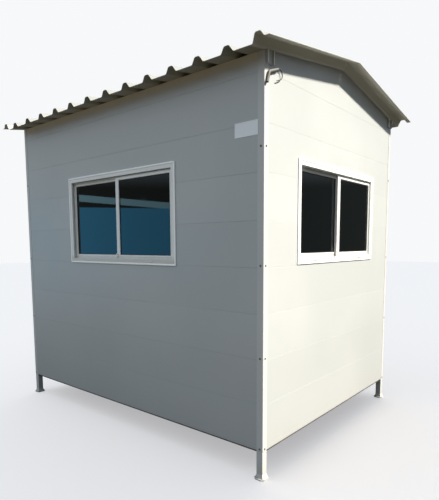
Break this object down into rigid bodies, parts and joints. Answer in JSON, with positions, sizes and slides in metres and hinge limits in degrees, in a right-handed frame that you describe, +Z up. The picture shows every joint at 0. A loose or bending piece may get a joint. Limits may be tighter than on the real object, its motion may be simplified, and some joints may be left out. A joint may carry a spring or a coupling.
{
  "type": "security guard booth",
  "caption": "Small rectangular guard booth on short legs, with board-clad walls, sliding windows and a low gable roof of ribbed sheet.",
  "frame": {"origin": "ground level under the middle of the booth", "axes": "+X along the ridge towards the gable seen in the picture, -Y out of the long front wall, +Z up"},
  "size_m": [2.67, 2.0656, 2.466],
  "materials": {
    "wall_panel": "off-white cladding boards, satin",
    "white_trim": "cream white paint on steel",
    "frame_steel": "dark grey-brown primer on angle iron",
    "roof_sheet": "colour-coated ribbed sheet, olive grey underside",
    "window_frame": "white powder-coated aluminium",
    "tinted_glass": "dark tinted float glass",
    "floor_board": "cement-bonded floor board, sealed",
    "door_panel": "off-white door skin",
    "handle_steel": "satin steel",
    "conduit": "grey plastic conduit",
    "cable": "black cable sheath"
  },
  "bodies": {
    "root": {"cable_conduit": "conduit", "cable_tail": "cable", "door_frame": "window_frame", "door_handle": "handle_steel", "door_hinges": "handle_steel", "door_leaf": "door_panel", "floor_deck": "floor_board", "floor_frame": "frame_steel", "front_left_corner_trim": "white_trim", "front_left_post": "white_trim", "front_right_corner_trim": "white_trim", "front_right_post": "white_trim", "front_roof_sheet": "roof_sheet", "front_wall": "wall_panel", "front_window_frame": "window_frame", "front_window_glass": "tinted_glass", "front_window_inner_sash": "window_frame", "front_window_outer_sash": "window_frame", "left_gable_wall": "wall_panel", "left_roof_brackets": "white_trim", "left_window_frame": "window_frame", "left_window_glass": "tinted_glass", "left_window_inner_sash": "window_frame", "left_window_outer_sash": "window_frame", "rear_left_corner_trim": "white_trim", "rear_left_post": "white_trim", "rear_right_corner_trim": "white_trim", "rear_right_post": "white_trim", "rear_roof_sheet": "roof_sheet", "rear_wall_left": "wall_panel", "rear_wall_lintel": "wall_panel", "rear_wall_right": "wall_panel", "ridge_beam": "frame_steel", "ridge_cap": "roof_sheet", "right_gable_wall": "wall_panel", "right_roof_brackets": "white_trim", "right_window_frame": "window_frame", "right_window_glass": "tinted_glass", "right_window_inner_sash": "window_frame", "right_window_outer_sash": "window_frame"}
  },
  "joints": []
}
